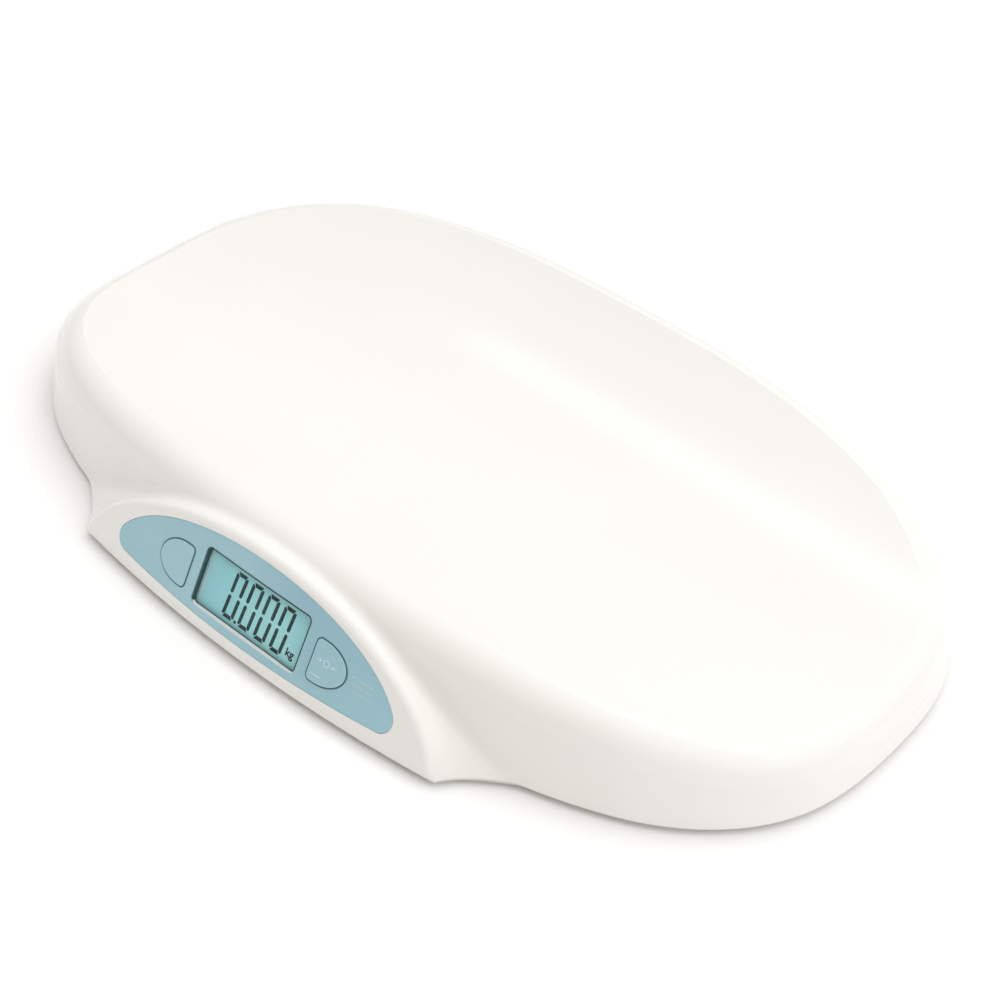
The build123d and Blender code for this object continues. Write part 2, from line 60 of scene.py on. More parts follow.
FACE_TILT = radians(61.75)                      # the console face leans back from the horizontal
FRONT_RADIUS = 900 * MM                         # of the tray's bowed front edge
FACE_BOW = FRONT_RADIUS / sin(FACE_TILT)        # and of the face's bow, in its own plane
SILL_HEIGHT = 5.7 * MM                          # of the upright edge below the face
FACE_FOOT = Vector((0, tray_low.y, tray_low.z + SILL_HEIGHT))
FACE_SLOPE = Vector((0, cos(FACE_TILT), sin(FACE_TILT)))
FACE_NORMAL = Vector((0, -sin(FACE_TILT), cos(FACE_TILT)))
PANEL_OUT = -0.2 * MM                           # the panel lies just below the face
KEY_OUT = 0.5 * MM                              # and the keys stand just proud of it
TRAY_CENTRE = sum(corner.y for corner in (*back_pad, *front_pad)) / 4


def front_of(node):
    """How far a flat piece's front lies out of the middle of the console face."""
    corners = frame["nodes"][node].data.vertices
    return max((corner.co - FACE_FOOT).dot(FACE_NORMAL) for corner in corners)


def face_matrix(across=0.0, up=0.0, out=0.0):
    """Carries a flat drawing in X and Y onto the middle plane of the console face."""
    place = FACE_FOOT + Vector((across, 0, 0)) + FACE_SLOPE * up + FACE_NORMAL * out
    return Matrix.Translation(place) @ Matrix.Rotation(FACE_TILT, 4, "X")


def lay_on_face(mesh, out):
    """Bends a flat drawing in X and Y onto the bowed face, at a height out of it."""
    for corner in mesh.verts:
        corner.co.z -= FACE_BOW - (FACE_BOW**2 - corner.co.x**2) ** 0.5
    bmesh.ops.transform(mesh, matrix=face_matrix(out=out), verts=mesh.verts)


LENS_FRONT = front_of("display_lens")
GLASS_FRONT = front_of("display_glass")

# ------------------------------------------------------------------ material helpers


def new_material(name):
    """An empty node material with its shader and its output."""
    material = bpy.data.materials.new(name)
    material.use_nodes = True
    nodes = material.node_tree.nodes
    nodes.clear()
    output = nodes.new("ShaderNodeOutputMaterial")
    shader = nodes.new("ShaderNodeBsdfPrincipled")
    material.node_tree.links.new(shader.outputs[0], output.inputs["Surface"])
    return material, nodes, material.node_tree.links, shader


def new_group(name, inputs, outputs):
    """An empty shader node group; inputs are (name, kind, default) and outputs (name, kind)."""
    group = bpy.data.node_groups.new(name, "ShaderNodeTree")
    for label, kind, value in inputs:
        socket = group.interface.new_socket(label, in_out="INPUT", socket_type=kind)
        socket.default_value = value
    for label, kind in outputs:
        group.interface.new_socket(label, in_out="OUTPUT", socket_type=kind)
    return group, group.nodes.new("NodeGroupInput"), group.nodes.new("NodeGroupOutput")


def feed(links, socket, value):
    """Links another node's socket to this one, or sets a number or a colour on it."""
    if isinstance(value, bpy.types.NodeSocket):
        links.new(value, socket)
    else:
        socket.default_value = (*value, 1) if isinstance(value, tuple) else value


def noise(nodes, links, place, scale, detail=3.0, roughness=0.5):
    """A noise texture that reads the given coordinates."""
    texture = nodes.new("ShaderNodeTexNoise")
    for label, value in (
        ("Vector", place), ("Scale", scale), ("Detail", detail), ("Roughness", roughness),
    ):
        feed(links, texture.inputs[label], value)
    return texture.outputs["Fac"]


def ranged(nodes, links, value, low, high, from_low=0.0, from_high=1.0):
    """A value mapped from one span to another."""
    node = nodes.new("ShaderNodeMapRange")
    for label, setting in (
        ("Value", value), ("From Min", from_low), ("From Max", from_high), ("To Min", low),
        ("To Max", high),
    ):
        feed(links, node.inputs[label], setting)
    return node.outputs["Result"]


def maths(nodes, links, kind, *values):
    """One arithmetic step on numbers or sockets."""
    node = nodes.new("ShaderNodeMath")
    node.operation = kind
    for index, value in enumerate(values):
        feed(links, node.inputs[index], value)
    return node.outputs[0]


def mixed(nodes, links, share, first, second):
    """A colour between two colours."""
    node = nodes.new("ShaderNodeMix")
    node.data_type = "RGBA"
    for index, value in ((0, share), (6, first), (7, second)):
        feed(links, node.inputs[index], value)
    return node.outputs[2]


def bumped(nodes, links, shader, height, distance):
    """Feeds a height to the shader's normal."""
    bump = nodes.new("ShaderNodeBump")
    bump.inputs["Distance"].default_value = distance
    bump.inputs["Strength"].default_value = 1.0
    links.new(height, bump.inputs["Height"])
    links.new(bump.outputs["Normal"], shader.inputs["Normal"])


def object_place(nodes):
    """The piece's own coordinates, which here are the frame's."""
    return nodes.new("ShaderNodeTexCoord").outputs["Object"]


def split_place(nodes, links, place):
    """The X, Y and Z of coordinates, as sockets."""
    split = nodes.new("ShaderNodeSeparateXYZ")
    links.new(place, split.inputs[0])
    return split.outputs


# ------------------------------------------------------------------ shared effects

EFFECT_OUTPUTS = [
    ("Color", "NodeSocketColor"), ("Roughness", "NodeSocketFloat"), ("Height", "NodeSocketFloat"),
]


def make_moulded_tone():
    """Moulded plastic: a slow drift of tone, fine specks and an uneven polish."""
    group, inside, outside = new_group(
        "moulded_tone",
        [
            ("Tone", "NodeSocketColor", (0.8, 0.8, 0.8, 1)),
            ("Shade", "NodeSocketColor", (0.7, 0.7, 0.7, 1)),
            ("Drift", "NodeSocketFloat", 0.4),
            ("Specks", "NodeSocketFloat", 0.1),
            ("Grain Scale", "NodeSocketFloat", 900.0),
            ("Polish", "NodeSocketFloat", 0.2),
            ("Unevenness", "NodeSocketFloat", 0.08),
        ],
        EFFECT_OUTPUTS,
    )
    nodes, links = group.nodes, group.links
    place = object_place(nodes)
    slow = ranged(nodes, links, noise(nodes, links, place, 9.0, 2.0), 0.0, 1.0, 0.35, 0.65)
    fine = noise(nodes, links, place, inside.outputs["Grain Scale"], 4.0, 0.6)
    drifted = mixed(
        nodes, links, maths(nodes, links, "MULTIPLY", slow, inside.outputs["Drift"]),
        inside.outputs["Tone"], inside.outputs["Shade"],
    )
    speck = ranged(nodes, links, fine, 0.0, 1.0, 0.58, 0.72)
    speckled = mixed(
        nodes, links, maths(nodes, links, "MULTIPLY", speck, inside.outputs["Specks"]),
        drifted, inside.outputs["Shade"],
    )
    handled = noise(nodes, links, place, 38.0, 5.0, 0.65)
    swing = maths(nodes, links, "SUBTRACT", handled, 0.5)
    spread = maths(nodes, links, "MULTIPLY", swing, inside.outputs["Unevenness"])
    links.new(speckled, outside.inputs["Color"])
    polish = maths(nodes, links, "ADD", inside.outputs["Polish"], spread)
    links.new(polish, outside.inputs["Roughness"])
    links.new(fine, outside.inputs["Height"])
    return group


def make_brushed_grain():
    """Rolled or brushed metal: long fine lines along X."""
    group, inside, outside = new_group(
        "brushed_grain",
        [
            ("Tone", "NodeSocketColor", (0.7, 0.7, 0.7, 1)),
            ("Shade", "NodeSocketColor", (0.5, 0.5, 0.5, 1)),
            ("Line Scale", "NodeSocketFloat", 500.0),
            ("Polish", "NodeSocketFloat", 0.3),
        ],
        EFFECT_OUTPUTS,
    )
    nodes, links = group.nodes, group.links
    stretch = nodes.new("ShaderNodeMapping")
    stretch.inputs["Scale"].default_value = (0.06, 1, 1)
    links.new(object_place(nodes), stretch.inputs["Vector"])
    lines = noise(nodes, links, stretch.outputs[0], inside.outputs["Line Scale"], 4.0, 0.7)
    stains = noise(nodes, links, object_place(nodes), 120.0, 3.0)
    lined = ranged(nodes, links, lines, 0.0, 1.0, 0.3, 0.7)
    colour = mixed(nodes, links, lined, inside.outputs["Tone"], inside.outputs["Shade"])
    spread = maths(nodes, links, "MULTIPLY", stains, 0.2)
    links.new(colour, outside.inputs["Color"])
    polish = maths(nodes, links, "ADD", inside.outputs["Polish"], spread)
    links.new(polish, outside.inputs["Roughness"])
    links.new(lines, outside.inputs["Height"])
    return group


MOULDED_TONE = make_moulded_tone()
BRUSHED_GRAIN = make_brushed_grain()
METAL_LINE_DEPTH = 0.01 * MM
COAT_ROUGHNESS = 0.06


def use_group(nodes, links, shader, group, depth, **settings):
    """Places a shared effect with its own values and feeds it to the shader."""
    look = nodes.new("ShaderNodeGroup")
    look.node_tree = group
    for label, value in settings.items():
        feed(links, look.inputs[label.replace("_", " ").title()], value)
    links.new(look.outputs["Color"], shader.inputs["Base Color"])
    links.new(look.outputs["Roughness"], shader.inputs["Roughness"])
    bumped(nodes, links, shader, look.outputs["Height"], depth)


def moulded_plastic(
    name, tone, shade, polish, drift=0.4, specks=0.1, grain=900.0, grain_depth=0.01 * MM,
    unevenness=0.08, coat=0.0,
):
    """A moulded plastic with its own tone, polish and grain."""
    material, nodes, links, shader = new_material(name)
    use_group(
        nodes, links, shader, MOULDED_TONE, grain_depth, tone=tone, shade=shade, drift=drift,
        specks=specks, grain_scale=grain, polish=polish, unevenness=unevenness,
    )
    shader.inputs["Coat Weight"].default_value = coat
    shader.inputs["Coat Roughness"].default_value = COAT_ROUGHNESS
    return material


def bright_metal(name, tone, shade, polish, lines):
    """A plain metal with rolled lines."""
    material, nodes, links, shader = new_material(name)
    use_group(
        nodes, links, shader, BRUSHED_GRAIN, METAL_LINE_DEPTH, tone=tone, shade=shade,
        line_scale=lines, polish=polish,
    )
    shader.inputs["Metallic"].default_value = 1.0
    return material


# ------------------------------------------------------------------ finishes of this scale

DISPLAY_REACH = 36 * MM                         # half the display's length
PAINTED_REFLECTION_EDGE = (-35.5 * MM, -33.5 * MM)            # its left end, where a painted reflection pales the ground
TREAD_PITCH = 1.6 * MM                          # of the rings in the foot pads
JACKET_BAND = 10.8 * MM                         # where a cell's coloured band starts
JACKET_CAP = 24.3 * MM                          # and its bare ends, from the middle of the row
PAINT_EDGE = 0.2 * MM                           # over which one tone passes into the next


def make_display_ground():
    """The liquid crystal's ground: blue-green and cloudy, with a painted reflection that pales its
    left edge.
    """
    material, nodes, links, shader = new_material("display_ground")
    place = object_place(nodes)
    across = split_place(nodes, links, place)["X"]
    along = ranged(nodes, links, across, 0.0, 1.0, -DISPLAY_REACH, DISPLAY_REACH)
    clouds = noise(nodes, links, place, 55.0, 2.0)
    weave = noise(nodes, links, place, 2600.0, 1.0)
    ground = mixed(nodes, links, along, (0.335, 0.75, 0.79), (0.375, 0.76, 0.765))
    cloudy = ranged(nodes, links, clouds, 0.0, 0.6, 0.4, 0.7)
    clouded = mixed(nodes, links, cloudy, ground, (0.29, 0.645, 0.74))
    # painted reflection of the left wall: the ground turns pale towards the left end, in cloudy
    # patches
    leftward = ranged(nodes, links, across, 0.75, 0.0, *PAINTED_REFLECTION_EDGE)
    edge = maths(nodes, links, "MULTIPLY", leftward, clouds)
    pale = mixed(nodes, links, edge, clouded, (0.85, 0.95, 0.97))
    woven = ranged(nodes, links, weave, 0.0, 0.12)
    links.new(mixed(nodes, links, woven, pale, (0.2, 0.42, 0.44)), shader.inputs["Base Color"])
    links.new(ranged(nodes, links, clouds, 0.22, 0.34), shader.inputs["Roughness"])
    return material


def make_clear_lens():
    """The clear cover over the display, faintly tinted, with a wiped haze."""
    material, nodes, links, shader = new_material("clear_lens")
    place = object_place(nodes)
    haze = noise(nodes, links, place, 30.0, 4.0, 0.6)
    tint = mixed(nodes, links, haze, (0.72, 0.86, 0.88), (0.8, 0.9, 0.92))
    links.new(tint, shader.inputs["Base Color"])
    links.new(ranged(nodes, links, haze, 0.04, 0.1, 0.35, 0.65), shader.inputs["Roughness"])
    shader.inputs["IOR"].default_value = 1.2
    links.new(ranged(nodes, links, haze, 0.012, 0.03, 0.3, 0.7), shader.inputs["Alpha"])
    return material


def make_print_ink(name, tone, shade):
    """Screen-printed ink of a slightly uneven tone."""
    material, nodes, links, shader = new_material(name)
    spots = noise(nodes, links, object_place(nodes), 1500.0, 3.0)
    patchy = ranged(nodes, links, spots, 0.0, 0.6)
    links.new(mixed(nodes, links, patchy, tone, shade), shader.inputs["Base Color"])
    links.new(ranged(nodes, links, spots, 0.35, 0.5), shader.inputs["Roughness"])
    shader.inputs["Specular IOR Level"].default_value = 0.15
    return material


def make_circuit_green():
    """Solder mask over copper: lighter where a track runs below it."""
    material, nodes, links, shader = new_material("circuit_green")
    place = object_place(nodes)
    tracks = nodes.new("ShaderNodeTexVoronoi")
    tracks.feature = "DISTANCE_TO_EDGE"
    tracks.inputs["Scale"].default_value = 240.0
    links.new(place, tracks.inputs["Vector"])
    track = ranged(nodes, links, tracks.outputs["Distance"], 1.0, 0.0, 0.03, 0.06)
    mask = mixed(nodes, links, track, (0.02, 0.13, 0.05), (0.05, 0.26, 0.1))
    links.new(mask, shader.inputs["Base Color"])
    links.new(ranged(nodes, links, track, 0.32, 0.22), shader.inputs["Roughness"])
    bumped(nodes, links, shader, track, 0.03 * MM)
    return material


def make_contact_rubber():
    """The strip between the glass and the board: pink rubber with dark conducting lines."""
    material, nodes, links, shader = new_material("contact_rubber")
    stripes = nodes.new("ShaderNodeTexWave")
    stripes.bands_direction = "X"
    stripes.inputs["Scale"].default_value = 900.0
    links.new(object_place(nodes), stripes.inputs["Vector"])
    lines = ranged(nodes, links, stripes.outputs["Fac"], 0.0, 1.0, 0.45, 0.55)
    striped = mixed(nodes, links, lines, (0.75, 0.3, 0.34), (0.08, 0.07, 0.07))
    links.new(striped, shader.inputs["Base Color"])
    links.new(ranged(nodes, links, lines, 0.6, 0.45), shader.inputs["Roughness"])
    return material


def make_pad_rubber():
    """Rubber foot pads with fine rings turned into their tread."""
    material, nodes, links, shader = new_material("pad_rubber")

    def step(kind, *values):
        return maths(nodes, links, kind, *values)

    place = object_place(nodes)
    split = split_place(nodes, links, place)
    low, high = back_pad
    pad_x = (low.x + high.x) / 2
    pad_y = (low.y + high.y) / 2 - TRAY_CENTRE
    across = step("SUBTRACT", step("ABSOLUTE", split["X"]), pad_x)
    from_centre = step("ABSOLUTE", step("SUBTRACT", split["Y"], TRAY_CENTRE))
    along = step("SUBTRACT", from_centre, pad_y)
    squares = step("ADD", step("MULTIPLY", across, across), step("MULTIPLY", along, along))
    radius = step("SQRT", squares)
    rings = step("SINE", step("MULTIPLY", radius, 2 * pi / TREAD_PITCH))
    dust = noise(nodes, links, place, 700.0, 5.0, 0.7)
    dusty = ranged(nodes, links, dust, 0.0, 0.35, 0.5, 0.75)
    tone = mixed(nodes, links, dusty, (0.03, 0.03, 0.03), (0.16, 0.15, 0.14))
    links.new(tone, shader.inputs["Base Color"])
    links.new(ranged(nodes, links, dust, 0.6, 0.85), shader.inputs["Roughness"])
    bumped(nodes, links, shader, rings, 0.12 * MM)
    return material


def make_battery_jacket():
    """Plain dark cell jackets with a copper-coloured band and bare steel ends."""
    material, nodes, links, shader = new_material("battery_jacket")
    place = object_place(nodes)
    across = split_place(nodes, links, place)["X"]
    far = maths(nodes, links, "ABSOLUTE", across)
    scuffs = noise(nodes, links, place, 260.0, 5.0, 0.7)
    scuffed = ranged(nodes, links, scuffs, 0.0, 0.3, 0.4, 0.8)
    body = mixed(nodes, links, scuffed, (0.03, 0.05, 0.09), (0.1, 0.13, 0.17))
    band = ranged(nodes, links, across, 0.0, 1.0, JACKET_BAND, JACKET_BAND + PAINT_EDGE)
    banded = mixed(nodes, links, band, body, (0.62, 0.33, 0.16))
    cap = ranged(nodes, links, far, 0.0, 1.0, JACKET_CAP, JACKET_CAP + PAINT_EDGE)
    links.new(mixed(nodes, links, cap, banded, (0.72, 0.7, 0.66)), shader.inputs["Base Color"])
    links.new(ranged(nodes, links, scuffs, 0.22, 0.4), shader.inputs["Roughness"])
    links.new(ranged(nodes, links, cap, 0.35, 1.0), shader.inputs["Metallic"])
    return material


IVORY = (0.886, 0.873, 0.85)
IVORY_SHADE = (0.868, 0.848, 0.808)
FINISHES = {
    "cover_plastic": moulded_plastic(
        "cover_gloss", IVORY, IVORY_SHADE, 0.16, drift=0.5, specks=0.05, grain=420.0,
        grain_depth=0.004 * MM, unevenness=0.06, coat=0.1,
    ),
    "base_plastic": moulded_plastic(
        "base_satin", (0.82, 0.80, 0.75), (0.74, 0.72, 0.67), 0.48, specks=0.35, grain=1600.0,
        grain_depth=0.06 * MM, unevenness=0.12,
    ),
    "panel_blue": moulded_plastic(
        "panel_satin", (0.38, 0.612, 0.685), (0.275, 0.478, 0.58), 0.34, drift=0.6, specks=0.8,
        grain=1300.0, grain_depth=0.02 * MM, unevenness=0.15,
    ),
    "key_blue": moulded_plastic(
        "key_satin", (0.382, 0.615, 0.68), (0.305, 0.52, 0.605), 0.3, drift=0.5, specks=0.4,
        grain=1300.0, grain_depth=0.015 * MM, unevenness=0.15,
    ),
    "inner_plastic": moulded_plastic(
        "inner_matt", (0.6, 0.6, 0.58), (0.5, 0.5, 0.48), 0.55, grain=1200.0,
        grain_depth=0.04 * MM,
    ),
    "chip_black": moulded_plastic(
        "chip_resin", (0.02, 0.02, 0.02), (0.05, 0.05, 0.05), 0.6, specks=0.6, grain=3000.0,
        grain_depth=0.03 * MM,
    ),
    "switch_black": moulded_plastic(
        "switch_nylon", (0.03, 0.03, 0.03), (0.06, 0.06, 0.06), 0.45, specks=0.4, grain=2000.0,
        grain_depth=0.03 * MM,
    ),
    "foot_plastic": moulded_plastic(
        "foot_nylon", (0.68, 0.66, 0.61), (0.58, 0.56, 0.52), 0.5, specks=0.3, grain=1500.0,
        grain_depth=0.05 * MM,
    ),
    "contact_metal": bright_metal(
        "contact_nickel", (0.78, 0.76, 0.7), (0.62, 0.6, 0.54), 0.18, 700.0
    ),
    "cell_steel": bright_metal("cell_steel", (0.6, 0.6, 0.6), (0.45, 0.45, 0.46), 0.28, 420.0),
    "screw_steel": bright_metal("screw_zinc", (0.66, 0.66, 0.64), (0.5, 0.5, 0.5), 0.26, 900.0),
    "display_glass": make_display_ground(),
    "clear_lens": make_clear_lens(),
    "board_green": make_circuit_green(),
    "strip_rubber": make_contact_rubber(),
    "pad_rubber": make_pad_rubber(),
    "battery_jacket": make_battery_jacket(),
}

DISPLAY_INK = make_print_ink("display_ink", (0.006, 0.026, 0.03), (0.012, 0.04, 0.045))
PALE_INK = make_print_ink("pale_ink", (0.66, 0.78, 0.80), (0.5, 0.66, 0.70))
FAINT_INK = make_print_ink("faint_ink", (0.5, 0.67, 0.72), (0.42, 0.6, 0.66))
OUTLINE_INK = make_print_ink("outline_ink", (0.07, 0.17, 0.21), (0.1, 0.22, 0.27))
# a dark teal finish for the strips that paint shade in the display opening and in the gaps round the
# keys
PAINTED_SHADE = moulded_plastic(
    "painted_shade", (0.035, 0.09, 0.10), (0.02, 0.05, 0.055), 0.6, specks=0.6, grain=2400.0,
    grain_depth=0.04 * MM,
)

for part in frame["record"]["subparts"]:
    node = frame["nodes"][part["node"]]
    node.data.materials.clear()
    node.data.materials.append(FINISHES[part["material_slot"]])

# ------------------------------------------------------------------ mesh helpers

INK_HEIGHT = 0.05 * MM
MERGE_REACH = 0.01 * MM
CAPITAL_SHARE = 0.7                             # a letter's height in its type size
LETTER_SPREAD = 0.035                           # how much bolder, in letter heights


def finish_piece(mesh, name, material, body="housing"):
    """Makes an object of a finished bmesh, gives it its finish and its body."""
    bmesh.ops.recalc_face_normals(mesh, faces=mesh.faces)
    data = bpy.data.meshes.new(name)
    mesh.to_mesh(data)
    mesh.free()
    data.materials.append(material)
    piece = bpy.data.objects.new(name, data)
    bpy.context.collection.objects.link(piece)
    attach(piece, body)
    return piece


def take_in(mesh, other):
    """Adds another bmesh to this one and frees it."""
    spare = bpy.data.meshes.new("spare")
    other.to_mesh(spare)
    other.free()
    mesh.from_mesh(spare)
    bpy.data.meshes.remove(spare)


def thicken(mesh, faces, height):
    """Raises flat faces into a solid skin."""
    raised = bmesh.ops.extrude_face_region(mesh, geom=faces)
    corners = [item for item in raised["geom"] if isinstance(item, bmesh.types.BMVert)]
    bmesh.ops.translate(mesh, verts=corners, vec=(0, 0, height))


def grown_edges(mesh, edges, place):
    """One more row of faces from a rim; place gives each new corner from the old one."""
    grown = bmesh.ops.extrude_edge_only(mesh, edges=edges)["geom"]
    for corner in grown:
        if isinstance(corner, bmesh.types.BMVert):
            corner.co = place(corner.co)
    return [edge for edge in grown if isinstance(edge, bmesh.types.BMEdge)]


def edges_of(corners):
    """Every edge that meets one of the corners, once and in a fixed order."""
    return list(dict.fromkeys(edge for corner in corners for edge in corner.link_edges))


def half_turned(segments):
    """Turns a circle by half a step, so that no corner of it lies on an axis."""
    return Matrix.Rotation(pi / segments, 4, "Z")


def flat_shape(mesh, points):
    """One flat face from its corners, in millimetres."""
    return mesh.faces.new([mesh.verts.new((x * MM, y * MM, 0)) for x, y in points])


def flat_arc(mesh, centre, radius, width, start, end, steps=20):
    """A flat band along an arc, in millimetres and degrees."""
    x, y = centre
    rows = []
    for step in range(steps + 1):
        angle = radians(start + (end - start) * step / steps)
        rows.append([
            mesh.verts.new(((x + reach * cos(angle)) * MM, (y + reach * sin(angle)) * MM, 0))
            for reach in (radius - width / 2, radius + width / 2)
        ])
    return [mesh.faces.new((*first, *reversed(second))) for first, second in zip(rows, rows[1:])]


def flat_bar(mesh, start, end, width):
    """A flat bar from one point to another, in millimetres."""
    along = Vector((end[0] - start[0], end[1] - start[1])).normalized()
    side = Vector((-along.y, along.x)) * width / 2
    return flat_shape(mesh, [
        (start[0] + side.x, start[1] + side.y), (start[0] - side.x, start[1] - side.y),
        (end[0] - side.x, end[1] - side.y), (end[0] + side.x, end[1] + side.y),
    ])


def word_mesh(text, height, place):
    """A word as thin raised letters, which the matrix carries to its place."""
    curve = bpy.data.curves.new(text, "FONT")
    curve.body = text
    curve.size = height / CAPITAL_SHARE
    curve.resolution_u = 6
    curve.offset = height * LETTER_SPREAD
    letters = bpy.data.objects.new(text, curve)
    bpy.context.collection.objects.link(letters)
    evaluated = letters.evaluated_get(bpy.context.evaluated_depsgraph_get())
    data = bpy.data.meshes.new_from_object(evaluated)
    bpy.data.objects.remove(letters)
    mesh = bmesh.new()
    mesh.from_mesh(data)
    bmesh.ops.remove_doubles(mesh, verts=mesh.verts, dist=MERGE_REACH)
    thicken(mesh, mesh.faces[:], INK_HEIGHT)
    bmesh.ops.transform(mesh, matrix=place, verts=mesh.verts)
    return mesh


# ------------------------------------------------------------------ the display's figures

DIGIT_PITCH = 11.44                             # millimetres, like the rest of the figures
DIGIT_WIDTH = 8.4
DIGIT_HEIGHT = 25.8
DIGIT_STROKE = 2.1
DIGIT_LEAN = tan(radians(3.4))
FIRST_DIGIT = (-18.9, 8.9)                      # its lower left corner on the console face
CORNER_CUT = 0.12                               # half the gap between segments at a corner
WAIST_CUT = 0.55                                # and half the gap at the middle
POINT_RADIUS = 0.85
UNIT_PLACE = (26.3 * MM, 11.6 * MM)
UNIT_HEIGHT = 4.2 * MM


def zero_segments(left, foot):
    """The six lit segments of a zero, as corner lists in millimetres."""
    width, height, stroke = DIGIT_WIDTH, DIGIT_HEIGHT, DIGIT_STROKE
    middle = height / 2
    bars = []
    for bottom, top, turn in ((0, stroke, 1), (height, height - stroke, -1)):
        knee = bottom + turn * stroke * 0.55
        bars.append([
            (stroke * 0.45 + CORNER_CUT, bottom), (width - stroke * 0.45 - CORNER_CUT, bottom),
            (width - stroke * 0.75 - CORNER_CUT, knee), (width - stroke - CORNER_CUT, top),
            (stroke + CORNER_CUT, top), (stroke * 0.75 + CORNER_CUT, knee),
        ])
    for outer, way in ((0, 1), (width, -1)):
        inner = outer + way * stroke
        for end, turn in ((0, 1), (height, -1)):
            shoulder = middle - turn * (stroke * 0.35 + WAIST_CUT)
            bars.append([
                (outer, end + turn * stroke * 0.75),
                (outer + way * stroke * 0.4, end + turn * (stroke * 0.4 + CORNER_CUT)),
                (inner, end + turn * (stroke + CORNER_CUT)),
                (inner, shoulder),
                (outer + way * stroke * 0.5, middle - turn * WAIST_CUT),
                (outer, shoulder),
            ])
    return [[(left + x + y * DIGIT_LEAN, foot + y) for x, y in bar] for bar in bars]


def make_display_figures():
    """Four zeros and their point, on the front of the display glass."""
    mesh = bmesh.new()
    left, foot = FIRST_DIGIT
    faces = []
    for index in range(4):
        for corners in zero_segments(left + index * DIGIT_PITCH, foot):
            faces.append(flat_shape(mesh, corners))
    point_x = left + DIGIT_WIDTH + (DIGIT_PITCH - DIGIT_WIDTH) / 2
    dot = bmesh.ops.create_circle(
        mesh, cap_ends=True, segments=24, radius=POINT_RADIUS * MM,
        matrix=Matrix.Translation((point_x * MM, (foot + POINT_RADIUS) * MM, 0)),
    )
    faces.extend(dot["verts"][0].link_faces)
    thicken(mesh, faces, INK_HEIGHT)
    bmesh.ops.transform(mesh, matrix=face_matrix(out=GLASS_FRONT), verts=mesh.verts)
    return finish_piece(mesh, "display_figures", DISPLAY_INK)


def make_display_unit():
    """The unit sign beside the figures."""
    mesh = word_mesh("kg", UNIT_HEIGHT, face_matrix(*UNIT_PLACE, GLASS_FRONT))
    return finish_piece(mesh, "display_unit", DISPLAY_INK)


# ------------------------------------------------------------------ dark strips of painted shade in the panel's openings

WINDOW_UP = 22.6                                # the opening's middle, up the face
WINDOW_HALF = (36.6, 15.6)
WINDOW_CORNER = 2.5
LEDGE_OUT = -1.2 * MM                           # the cover's ledge that the panel lies on
SHADE_STRIP_RISE = 0.35 * MM                           # the painted-shade strip's lip above that ledge
SHADE_STRIP_FOOT = 0.8 * MM                            # and its foot above the lens
SHADE_STRIP_SKIN = 0.12 * MM
SHADE_STRIP_END = 0.9                                  # it ends so far above the opening's low edge
SNUG = -0.05                                    # a shade strip's face, just within the outline
SHADE_STRIP_ROWS = (                                   # its left, right and top, and how far out
    ((0.9, 0.3, 0.3), LEDGE_OUT),
    ((SNUG, SNUG, SNUG), LEDGE_OUT + SHADE_STRIP_RISE),
    ((-0.9, -0.45, -0.45), LEDGE_OUT + SHADE_STRIP_RISE),
    ((SNUG, SNUG, SNUG), LENS_FRONT + SHADE_STRIP_FOOT),
)
LONG_EDGE = 20 * MM                             # longer ones are cut, to follow the bow
BOW_CUTS = 14
# the dark frame on the lens that paints the shadow at the foot of the opening's walls
FOOT_SHADE_INSIDE = -0.4
FOOT_SHADE_HEIGHT = 0.35 * MM

KEY_FLAT = 44.6                                 # the keys' outline, as the cover has it
KEY_REACH = 21.6
KEY_SHOULDER = 5
KEY_HALF_HEIGHT = 11.3
KEY_UP = 21.4
KEY_CORNER = 2.6
# the dark ring in each key's gap, which paints the shadow in that gap
KEY_SHADE_RING_OUT = -0.4 * MM
KEY_SHADE_RING_HEIGHT = 0.4 * MM
KEY_SHADE_RING_GROW = (0.33, 0.04)                    # its rims, out from the key
KEY_LINE_GROW = (0.8, 0.42)                     # and the printed line's


def window_row(left, right, top, bottom, out):
    """Gives the place of a window corner whose sides are moved out by some millimetres."""
    def place(corner):
        up = corner.y - WINDOW_UP * MM
        return Vector((
            corner.x + (right if corner.x > 0 else -left) * MM,
            corner.y + (top if up > 0 else -bottom) * MM, out,
        ))
    return place


def window_loop(mesh, place):
    """The window's outline on the middle plane of the face, as a closed loop of edges."""
    half_width, half_height = WINDOW_HALF
    loop = bmesh.ops.create_circle(
        mesh, segments=32, radius=WINDOW_CORNER * MM, matrix=half_turned(32)
    )["verts"]
    for corner in loop:
        corner.co.x += copysign((half_width - WINDOW_CORNER) * MM, corner.co.x)
        corner.co.y += copysign((half_height - WINDOW_CORNER) * MM, corner.co.y) + WINDOW_UP * MM
        corner.co = place(corner.co)
    return edges_of(loop)


